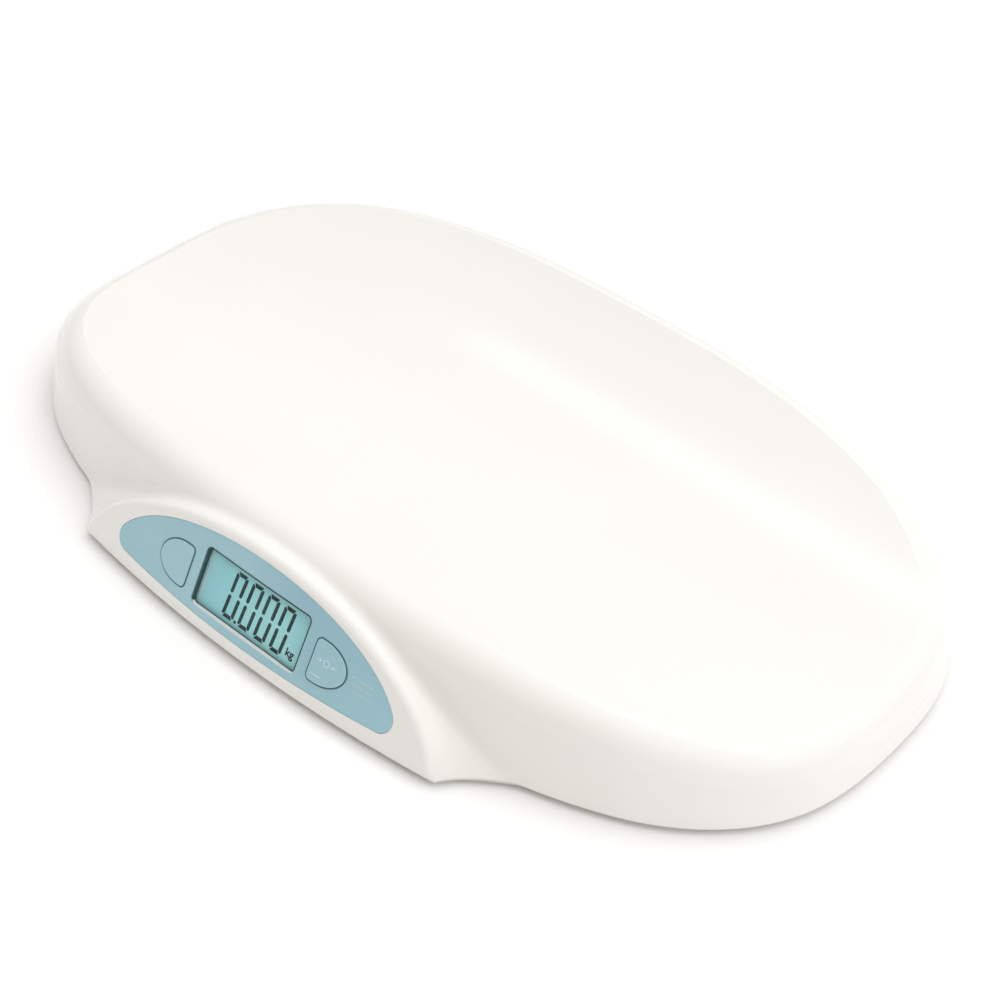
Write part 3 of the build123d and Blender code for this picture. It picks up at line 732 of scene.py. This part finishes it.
# painted shade: a dark strip over the opening's left wall, and a painted shadow line along its top
# and right
def make_window_shade_strip():
    """The dark strip in the display opening, which paints its shade: wide over its left wall, a thin
    painted shadow line along its top and right, and open below."""
    mesh = bmesh.new()
    (sides, out), *rows = SHADE_STRIP_ROWS
    rim = window_loop(mesh, window_row(*sides, 0, out))
    for sides, out in rows:
        rim = grown_edges(mesh, rim, window_row(*sides, 0, out))
    long_edges = []
    for edge in mesh.edges:
        first, second = edge.verts
        if abs(first.co.x - second.co.x) > LONG_EDGE:
            long_edges.append(edge)
    bmesh.ops.subdivide_edges(mesh, edges=long_edges, cuts=BOW_CUTS, use_grid_fill=True)
    low_end = WINDOW_UP - WINDOW_HALF[1] + SHADE_STRIP_END
    bmesh.ops.bisect_plane(
        mesh, geom=[*mesh.verts, *mesh.edges, *mesh.faces], plane_co=(0, low_end * MM, 0),
        plane_no=(0, 1, 0), clear_inner=True,
    )
    bmesh.ops.recalc_face_normals(mesh, faces=mesh.faces)
    bmesh.ops.solidify(mesh, geom=mesh.faces[:], thickness=SHADE_STRIP_SKIN)
    lay_on_face(mesh, 0)
    return finish_piece(mesh, "window_shade_strip", PAINTED_SHADE)


def make_display_shade_strip():
    """A thin dark frame round the foot of the display opening, on the lens, which paints the shadow
    at the foot of its walls.
    """
    mesh = bmesh.new()
    rim = window_loop(mesh, window_row(*[SNUG] * 4, LENS_FRONT))
    grown_edges(mesh, rim, window_row(*[FOOT_SHADE_INSIDE] * 4, LENS_FRONT))
    thicken(mesh, mesh.faces[:], FOOT_SHADE_HEIGHT)
    bmesh.ops.transform(mesh, matrix=face_matrix(), verts=mesh.verts)
    return finish_piece(mesh, "display_shade_strip", PAINTED_SHADE)


def key_loop(mesh, side, grow):
    """A key's outline moved out by some millimetres: flat towards the display, round outwards."""
    loop = bmesh.ops.create_circle(mesh, segments=64, radius=1, matrix=half_turned(64))["verts"]
    reach = KEY_REACH - KEY_SHOULDER + grow
    half_height = KEY_HALF_HEIGHT + grow
    corner_radius = KEY_CORNER + grow
    for corner in loop:
        x, y = corner.co.x, corner.co.y
        if x > 0:
            across = KEY_FLAT + KEY_SHOULDER + x * reach
            up = y * half_height
        else:
            across = KEY_FLAT - grow + corner_radius + x * corner_radius
            up = copysign(half_height - corner_radius, y) + y * corner_radius
        corner.co = (side * across * MM, (KEY_UP + up) * MM, 0)
    return edges_of(loop)


def key_band(side, grows, height, out):
    """A band round a key between two outlines, laid on the bowed face at a height out of it."""
    mesh = bmesh.new()
    edges = [edge for grow in grows for edge in key_loop(mesh, side, grow)]
    thicken(mesh, bmesh.ops.bridge_loops(mesh, edges=edges)["faces"], height)
    lay_on_face(mesh, out)
    return mesh


def make_key_shade_ring(name, side):
    """A dark ring in the gap round a key, which paints the shadow in that gap."""
    mesh = key_band(side, KEY_SHADE_RING_GROW, KEY_SHADE_RING_HEIGHT, KEY_SHADE_RING_OUT)
    return finish_piece(mesh, name, PAINTED_SHADE)


# ------------------------------------------------------------------ print on the panel and keys

SIGN_STROKE = 0.5
POWER_CENTRE = (-56.2, 21.6)
POWER_RADIUS = 3.0
POWER_BAR = (0.6, 4.0)                          # the upright's ends, up from the centre
ZERO_CENTRE = (54.0, 22.6)
ZERO_RADIUS = 1.7
ARROW_TIP = 2.9                                 # out from the centre of the zero
ARROW_HEAD = (1.5, 0.9)                         # its length and half its height
ARROW_SHAFT = (3.6, 1.2)                        # its ends, out from the tip
KEY_BAR = ((46.6, 14.2), (53.0, 14.2), 0.55)
DASH_STROKE = 0.75
DASH_GAP = 0.7


def make_key_outline(name, side):
    """The dark line printed on the panel round a key."""
    mesh = key_band(side, KEY_LINE_GROW, INK_HEIGHT, PANEL_OUT)
    return finish_piece(mesh, name, OUTLINE_INK)


def make_power_mark():
    """The standard on and off sign on the left key."""
    mesh = bmesh.new()
    x, up = POWER_CENTRE
    low, high = POWER_BAR
    faces = flat_arc(mesh, POWER_CENTRE, POWER_RADIUS, SIGN_STROKE, 125, 415)
    faces.append(flat_bar(mesh, (x, up + low), (x, up + high), SIGN_STROKE))
    thicken(mesh, faces, INK_HEIGHT)
    lay_on_face(mesh, KEY_OUT)
    return finish_piece(mesh, "power_mark", FAINT_INK, "power_key")


def make_zero_mark():
    """The return to zero sign on the right key, over a short bar."""
    mesh = bmesh.new()
    x, up = ZERO_CENTRE
    length, half_height = ARROW_HEAD
    far, near = ARROW_SHAFT
    flat_arc(mesh, ZERO_CENTRE, ZERO_RADIUS, SIGN_STROKE, 0, 360, 28)
    for way in (-1, 1):
        tip = x + way * ARROW_TIP
        neck = tip + way * length
        flat_bar(mesh, (tip + way * far, up), (tip + way * near, up), SIGN_STROKE)
        flat_shape(mesh, [(tip, up), (neck, up + half_height), (neck, up - half_height)])
    flat_bar(mesh, *KEY_BAR)
    bmesh.ops.remove_doubles(mesh, verts=mesh.verts, dist=MERGE_REACH)
    thicken(mesh, mesh.faces[:], INK_HEIGHT)
    lay_on_face(mesh, KEY_OUT)
    return finish_piece(mesh, "zero_mark", PALE_INK, "tare_key")


def make_panel_print():
    """Short printed dashes beside the keys."""
    mesh = bmesh.new()
    rows = [(-80.6, 22.0, (1.6, 2.4, 1.0, 2.6))]
    rows += [(69.4 + 0.8 * row, 24.6 - 3.3 * row, (2.2, 1.2, 3.0, 1.6, 2.0)) for row in range(3)]
    faces = []
    for x, up, dashes in rows:
        for length in dashes:
            faces.append(flat_bar(mesh, (x, up), (x + length, up), DASH_STROKE))
            x += length + DASH_GAP
    thicken(mesh, faces, INK_HEIGHT)
    lay_on_face(mesh, PANEL_OUT)
    return finish_piece(mesh, "panel_print", FAINT_INK)


# ------------------------------------------------------------------ marks under the base

BASE_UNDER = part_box("base_cover")[0].z
BASE_INK = make_print_ink("base_ink", (0.09, 0.09, 0.095), (0.15, 0.15, 0.155))
MARK_HEIGHT = 2.5 * MM
MARK_GAPS = (3.4, 10.2)                         # from the knob to each mark's lower left corner
MARK_DROP = 1.2                                 # and from the knob's middle to the marks' foot


def under_matrix(across, back):
    """Carries a flat drawing to a place under the base, where it faces the floor."""
    place = Matrix.Translation((across * MM, back * MM, BASE_UNDER))
    return place @ Matrix.Rotation(pi, 4, "Y")


def make_unit_marks():
    """The two units the slide switch chooses between, at either end of its travel."""
    low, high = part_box("unit_knob")
    left, right = low.x / MM - MARK_GAPS[0], high.x / MM + MARK_GAPS[1]
    foot = (low.y + high.y) / 2 / MM - MARK_DROP
    mesh = word_mesh("kg", MARK_HEIGHT, under_matrix(left, foot))
    take_in(mesh, word_mesh("lb", MARK_HEIGHT, under_matrix(right, foot)))
    return finish_piece(mesh, "unit_marks", BASE_INK)


# ------------------------------------------------------------------ screws under the base

CROSS = [                                       # a quarter of the recess, in head radii
    (0.62, 0.0), (0.62, 0.06), (0.6, 0.13), (0.4, 0.14), (0.24, 0.15), (0.15, 0.24), (0.14, 0.4),
    (0.13, 0.6), (0.06, 0.62),
]
CROSS_DEPTH = 1.3 * MM
CROSS_TAPER = 0.7
HEAD_ROWS = (                                   # radius in head radii, height in millimetres
    (0.93, 0.22), (0.985, 0.5), (1.0, 0.9), (1.0, 2.2),
)
HEAD_HEIGHT = 2.2 * MM
CORE_RADIUS = 1.2 * MM
TIP_RADIUS = 0.2 * MM
TIP_LENGTH = 2 * MM
THREAD_DEPTH = 0.24 * MM
FIRST_THREAD = 0.6                              # millimetres from the head to its first row
HALF_PITCH = 0.55


def round_row(radius, height):
    """Gives the place of a corner of a round rim, at a new radius and height."""
    def place(corner):
        return Vector((corner.x, corner.y, 0)).normalized() * radius + Vector((0, 0, height))
    return place


def turned_from_up(corner):
    """A corner's angle round the axis, by which the recess takes its corners in turn."""
    return Vector((0, 1)).angle_signed(corner.co.xy)


def make_cover_screw(name):
    """A pan-head screw with a cross recess, seen from below, and a coarse thread."""
    low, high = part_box(name)
    head_radius = (high.x - low.x) / 2
    length = high.z - low.z
    mesh = bmesh.new()
    bmesh.ops.create_circle(mesh, cap_ends=True, segments=36, radius=head_radius * 0.8)
    middle = mesh.faces[:]
    bmesh.ops.inset_individual(mesh, faces=middle, thickness=head_radius * 0.1)
    rim = [edge for edge in mesh.edges if edge.is_boundary]
    for index, corner in enumerate(sorted(middle[0].verts, key=turned_from_up)):
        quarter, step = divmod(index, len(CROSS))
        corner.co.xy = Matrix.Rotation(pi / 2 * quarter, 2) @ Vector(CROSS[step]) * head_radius
    sunk = bmesh.ops.extrude_face_region(mesh, geom=middle)["geom"]
    bmesh.ops.delete(mesh, geom=middle, context="FACES_ONLY")
    for corner in sunk:
        if isinstance(corner, bmesh.types.BMVert):
            corner.co = (corner.co.x * CROSS_TAPER, corner.co.y * CROSS_TAPER, CROSS_DEPTH)
    rows = [(head_radius * radius, height * MM) for radius, height in HEAD_ROWS]
    rows.append((CORE_RADIUS, HEAD_HEIGHT))
    turns = int((length - HEAD_HEIGHT - TIP_LENGTH) / (2 * HALF_PITCH * MM))
    for step in range(2 * turns):
        thread = THREAD_DEPTH if step % 2 else 0
        rows.append((CORE_RADIUS + thread, HEAD_HEIGHT + (FIRST_THREAD + HALF_PITCH * step) * MM))
    rows.append((TIP_RADIUS, length))
    for radius, height in rows:
        rim = grown_edges(mesh, rim, round_row(radius, height))
    bmesh.ops.contextual_create(mesh, geom=rim)
    axis_x, axis_y = (low.x + high.x) / 2, (low.y + high.y) / 2
    bmesh.ops.translate(mesh, verts=mesh.verts, vec=(axis_x, axis_y, low.z))
    finish = FINISHES["screw_steel"]
    screw = finish_piece(mesh, name.replace("cover_screw", "screw"), finish)
    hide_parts(name)
    return screw


# ------------------------------------------------------------------ battery contacts

SPRING_TURNS = 4
TURN_STEPS = 28
WIRE_RADIUS = 0.4 * MM
SEAT_RADIUS = 4.0 * MM
TIP_END_RADIUS = 2.55 * MM
SPRUNG_GAP = 2 * MM                             # a wider gap to the cell holds a spring
PLATE = 0.5 * MM                                # the plates' thickness
PLATE_MARGIN = Vector((1.3, 1.5)) * MM          # how far they stop short of half a cell's box
PLATE_CORNER = 1.2 * MM
DOME_RADIUS = 2.6 * MM
DOME_ROWS = ((2.2, 0.28), (1.5, 0.42))          # the dimple's radius and height over the plate
CELLS = [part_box(f"battery_{index}") for index in range(1, 5)]


def coil_spring(length):
    """A conical coil of wire, standing on its wide end along Z."""
    mesh = bmesh.new()
    centre = Matrix.Translation((SEAT_RADIUS - WIRE_RADIUS, 0, WIRE_RADIUS))
    wire = bmesh.ops.create_circle(
        mesh, segments=10, radius=WIRE_RADIUS, matrix=centre @ Matrix.Rotation(pi / 2, 4, "X")
    )["verts"]
    first = edges_of(wire)
    steps = SPRING_TURNS * TURN_STEPS
    rise = length - 2 * WIRE_RADIUS
    spun = bmesh.ops.spin(
        mesh, geom=wire + first, cent=(0, 0, 0), axis=(0, 0, 1), angle=2 * pi * SPRING_TURNS,
        steps=steps, dvec=(0, 0, rise / steps), use_merge=False,
    )["geom_last"]
    last = [item for item in spun if isinstance(item, bmesh.types.BMEdge)]
    for end in (first, last):
        bmesh.ops.contextual_create(mesh, geom=end)
    for corner in mesh.verts:
        corner.co.xy *= 1 - (1 - TIP_END_RADIUS / SEAT_RADIUS) * corner.co.z / length
    return mesh


def contact_plate(domed):
    """A sprung steel plate with rounded corners; the domed kind has a pressed dimple."""
    mesh = bmesh.new()
    low, high = CELLS[0]
    half = Vector((high.y - low.y, high.z - low.z)) / 2 - PLATE_MARGIN
    for corner in bmesh.ops.create_cube(mesh, size=1)["verts"]:
        x, y, z = corner.co
        corner.co = (2 * half.x * x, 2 * half.y * y, PLATE * (z + 0.5))
    upright = []
    for edge in mesh.edges:
        first, second = edge.verts
        if abs(first.co.z - second.co.z) > PLATE / 2:
            upright.append(edge)
    bmesh.ops.bevel(
        mesh, geom=upright, affect="EDGES", offset=PLATE_CORNER, segments=5, profile=0.5,
        material=-1,
    )
    if domed:
        rim = edges_of(bmesh.ops.create_circle(
            mesh, cap_ends=True, segments=28, radius=DOME_RADIUS,
            matrix=Matrix.Translation((0, 0, PLATE)),
        )["verts"])
        for radius, height in DOME_ROWS:
            rim = grown_edges(mesh, rim, round_row(radius * MM, PLATE + height * MM))
        bmesh.ops.contextual_create(mesh, geom=rim)
    return mesh


def make_contacts(name, side):
    """The row of plates and coil springs at one end of the battery compartment."""
    low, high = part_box(name)
    wall = high.x if side > 0 else low.x
    turn = Matrix(((0, 0, -side), (side, 0, 0), (0, -1, 0))).to_4x4()
    row = bmesh.new()
    for cell_low, cell_high in CELLS:
        gap = wall - cell_high.x if side > 0 else cell_low.x - wall
        sprung = gap > SPRUNG_GAP
        mesh = contact_plate(not sprung)
        if sprung:
            spring = coil_spring(gap - PLATE)
            bmesh.ops.translate(spring, verts=spring.verts, vec=(0, 0, PLATE))
            take_in(mesh, spring)
        middle = (cell_low + cell_high) / 2
        place = Matrix.Translation((wall, middle.y, middle.z))
        bmesh.ops.transform(mesh, matrix=place @ turn, verts=mesh.verts)
        take_in(row, mesh)
    finish = FINISHES["contact_metal"]
    piece = finish_piece(row, name.replace("contacts", "contact_row"), finish)
    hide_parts(name)
    return piece


# ------------------------------------------------------------------ all the pieces

make_display_figures()
make_display_unit()
make_window_shade_strip()
make_display_shade_strip()
make_key_shade_ring("power_key_shade_ring", -1)
make_key_shade_ring("tare_key_shade_ring", 1)
make_key_outline("power_key_outline", -1)
make_key_outline("tare_key_outline", 1)
make_power_mark()
make_zero_mark()
make_panel_print()
make_unit_marks()
for index in range(1, 9):
    make_cover_screw(f"cover_screw_{index}")
make_contacts("contacts_left", -1)
make_contacts("contacts_right", 1)

# ------------------------------------------------------------------ camera, floor and light

CAMERA_AZIMUTH = radians(40.0)
CAMERA_ELEVATION = radians(41.42)
CAMERA_ROLL = radians(2.89)
CAMERA_DISTANCE = 1063.5 * MM
CAMERA_TARGET = Vector((33.85, -6.18, 30.0)) * MM
CAMERA_LENS = 72.32

FLOOR_HALF = 8                                  # metres from its middle to its edge
HORIZON_TONE = (0.325, 0.302, 0.245)
OVERHEAD_TONE = (1.0, 0.995, 0.99)
ROOM_STRENGTH = 0.81
ROOM_LIFT = (0.475, 0.8)                        # share of the overhead tone at two heights
ROOM_HEIGHTS = (0.0, 0.9)
RIGHTWARD_LIFT = -0.02                          # and what it gains towards the right
BACKWARD_LIFT = 0.25                            # and the back


def make_camera():
    """The camera, aimed by its angles round a point on the scale."""
    data = bpy.data.cameras.new("camera")
    data.lens = CAMERA_LENS
    data.sensor_width = 36
    camera = bpy.data.objects.new("camera", data)
    bpy.context.collection.objects.link(camera)
    back = Vector((
        sin(CAMERA_AZIMUTH) * cos(CAMERA_ELEVATION), -cos(CAMERA_AZIMUTH) * cos(CAMERA_ELEVATION),
        sin(CAMERA_ELEVATION),
    ))
    right = Vector((cos(CAMERA_AZIMUTH), sin(CAMERA_AZIMUTH), 0))
    up = back.cross(right)
    level = Matrix((right, up, back)).transposed()
    camera.matrix_world = (
        Matrix.Translation(CAMERA_TARGET + back * CAMERA_DISTANCE)
        @ (level @ Matrix.Rotation(CAMERA_ROLL, 3, "Z")).to_4x4()
    )
    data.clip_start = 0.01
    data.clip_end = 50
    bpy.context.scene.camera = camera


def make_floor():
    """A wide matt white floor."""
    mesh = bmesh.new()
    bmesh.ops.create_grid(mesh, x_segments=2, y_segments=2, size=FLOOR_HALF)
    data = bpy.data.meshes.new("floor")
    mesh.to_mesh(data)
    mesh.free()
    floor = bpy.data.objects.new("floor", data)
    bpy.context.collection.objects.link(floor)
    material, nodes, links, shader = new_material("floor_white")
    paper = noise(nodes, links, object_place(nodes), 2.0, 2.0)
    white = mixed(nodes, links, paper, (0.975, 0.975, 0.975), (0.985, 0.985, 0.985))
    links.new(white, shader.inputs["Base Color"])
    shader.inputs["Roughness"].default_value = 0.9
    shader.inputs["Specular IOR Level"].default_value = 0.1
    data.materials.append(material)


def make_softbox(name, start, end, depth, power, mirrored=True):
    """A soft light whose long edge runs from start to end, in metres, and which faces the
    scale. Depth is its other side, towards the front; mirrored tells whether gloss shows it."""
    data = bpy.data.lights.new(name, "AREA")
    data.shape = "RECTANGLE"
    start, end = Vector(start), Vector(end)
    data.size, data.size_y = (end - start).length, depth
    data.energy = power
    light = bpy.data.objects.new(name, data)
    bpy.context.collection.objects.link(light)
    along = (end - start).normalized()
    back = ((start + end) / 2).normalized()
    across = back.cross(along).normalized()
    turn = Matrix((along, across, along.cross(across))).transposed().to_4x4()
    light.matrix_world = Matrix.Translation((start + end) / 2 - across * depth / 2) @ turn
    light.visible_glossy = mirrored


def make_surroundings():
    """A plain room: warm and dim at the horizon, white overhead and towards the back."""
    world = bpy.data.worlds.new("studio")
    bpy.context.scene.world = world
    world.use_nodes = True
    nodes, links = world.node_tree.nodes, world.node_tree.links
    nodes.clear()
    output = nodes.new("ShaderNodeOutputWorld")
    background = nodes.new("ShaderNodeBackground")
    split = split_place(nodes, links, nodes.new("ShaderNodeTexCoord").outputs["Generated"])
    lift = ranged(nodes, links, split["Z"], *ROOM_LIFT, *ROOM_HEIGHTS)
    rightward = maths(nodes, links, "MULTIPLY", split["X"], RIGHTWARD_LIFT)
    backward = maths(nodes, links, "MULTIPLY", split["Y"], BACKWARD_LIFT)
    glow = maths(nodes, links, "ADD", lift, maths(nodes, links, "ADD", rightward, backward))
    room = mixed(nodes, links, glow, HORIZON_TONE, OVERHEAD_TONE)
    links.new(room, background.inputs["Color"])
    background.inputs["Strength"].default_value = ROOM_STRENGTH
    links.new(background.outputs[0], output.inputs["Surface"])


make_camera()
make_floor()
make_surroundings()
make_softbox("overhead", (-1.7, 0.62, 1.65), (1.7, 0.84, 1.65), 1.9, 19.3, mirrored=False)
make_softbox("strip", (-1.07, 0.68, 1.53), (-0.33, 0.775, 1.72), 0.14, 0.75)
make_softbox("long_strip", (-0.33, 0.775, 1.72), (1.7, 0.87, 1.66), 0.15, 1.9)
make_softbox("fill", (2.2, 0.9, 0.9), (2.2, -1.1, 0.9), 1.2, 10.5, mirrored=False)
make_softbox("back", (-1.4, 2.1, 1.6), (1.2, 2.1, 1.6), 1.0, 7, mirrored=False)
bpy.context.scene.view_settings.view_transform = "Standard"
